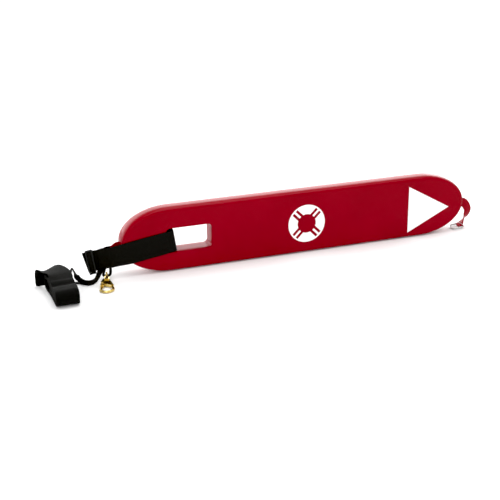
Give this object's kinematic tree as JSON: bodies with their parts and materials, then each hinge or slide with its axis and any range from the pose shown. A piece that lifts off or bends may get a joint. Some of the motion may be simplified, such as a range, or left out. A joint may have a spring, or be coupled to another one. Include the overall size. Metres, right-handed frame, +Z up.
{
  "type": "rescue tube",
  "caption": "Flat foam rescue float in a red vinyl skin, with a hand slot, end straps, webbing strap and slider, bolt snap, tow line and folded shoulder strap.",
  "frame": {"origin": "middle of the float's resting side, on the floor", "axes": "+X along the float towards the arrow and the ring, -Y out of the printed face, +Z up"},
  "size_m": [1.0901, 0.1721, 0.152],
  "materials": {
    "vinyl": "gloss vinyl dip with a fine orange-peel surface",
    "ink": "satin printed ink",
    "foam": "closed-cell foam",
    "webbing": "woven polyester webbing",
    "cord": "braided cord",
    "thread": "bonded thread",
    "slider": "moulded acetal",
    "brass": "cast and tumbled",
    "steel": "stainless wire"
  },
  "bodies": {
    "float": {"foam_front_layer": "foam", "foam_rear_layer": "foam", "core_strap": "webbing", "vinyl_skin": "vinyl", "arrow_print": "ink", "emblem_print": "ink", "left_end_strap": "vinyl", "hook_lanyard": "cord", "lanyard_sleeve": "steel", "tow_line_lead": "webbing", "tow_line_stitching": "thread"},
    "slot_strap": {"slot_strap": "webbing"},
    "slider": {"strap_slider": "slider", "strap_stitching": "thread"},
    "snap_eye": {"snap_eye": "brass"},
    "snap_body": {"snap_body": "brass", "snap_spring": "steel"},
    "snap_bolt": {"snap_bolt": "brass", "snap_stud": "brass"},
    "right_strap": {"right_end_strap": "vinyl"},
    "end_ring": {"end_ring": "steel"},
    "tow_line": {"tow_line": "webbing", "tow_line_tail": "webbing", "tow_line_hank": "webbing", "shoulder_strap_roll": "webbing", "shoulder_strap_arch": "webbing"}
  },
  "joints": [
    {"name": "strap_swing", "type": "hinge", "parent": "float", "child": "slot_strap", "pos_m": [-0.3085, 0, 0.0745], "axis": [0, 1, 0], "range_deg": [0, 30]},
    {"name": "slider_slide", "type": "slide", "parent": "slot_strap", "child": "slider", "axis": [-0.991, 0, -0.134], "range_m": [-0.004, 0.006], "deforming": ["slot_strap"]},
    {"name": "snap_lift", "type": "hinge", "parent": "float", "child": "snap_eye", "pos_m": [-0.4675, -0.014, 0.009], "axis": [-0.9806, 0.1959, 0], "range_deg": [0, 45]},
    {"name": "snap_swivel", "type": "hinge", "parent": "snap_eye", "child": "snap_body", "pos_m": [-0.4675, -0.014, 0.009], "axis": [-0.1954, -0.9778, -0.0762], "continuous": true},
    {"name": "bolt_pull", "type": "slide", "parent": "snap_body", "child": "snap_bolt", "axis": [0.33, 0.941, 0.0754], "range_m": [0, 0.008], "stiffness_N_per_m": 400, "springref_m": -0.004, "deforming": ["snap_spring"]},
    {"name": "right_strap_lift", "type": "hinge", "parent": "float", "child": "right_strap", "pos_m": [0.4341, 0, 0.0788], "axis": [0, -1, 0], "range_deg": [0, 60]},
    {"name": "ring_fold", "type": "hinge", "parent": "right_strap", "child": "end_ring", "pos_m": [0.4385, 0, 0.005], "axis": [0, 1, 0], "range_deg": [0, 70]},
    {"name": "line_swing", "type": "hinge", "parent": "float", "child": "tow_line", "pos_m": [-0.476, -0.0146, 0.0215], "axis": [0, 0, 1], "range_deg": [-12, 0]}
  ]
}
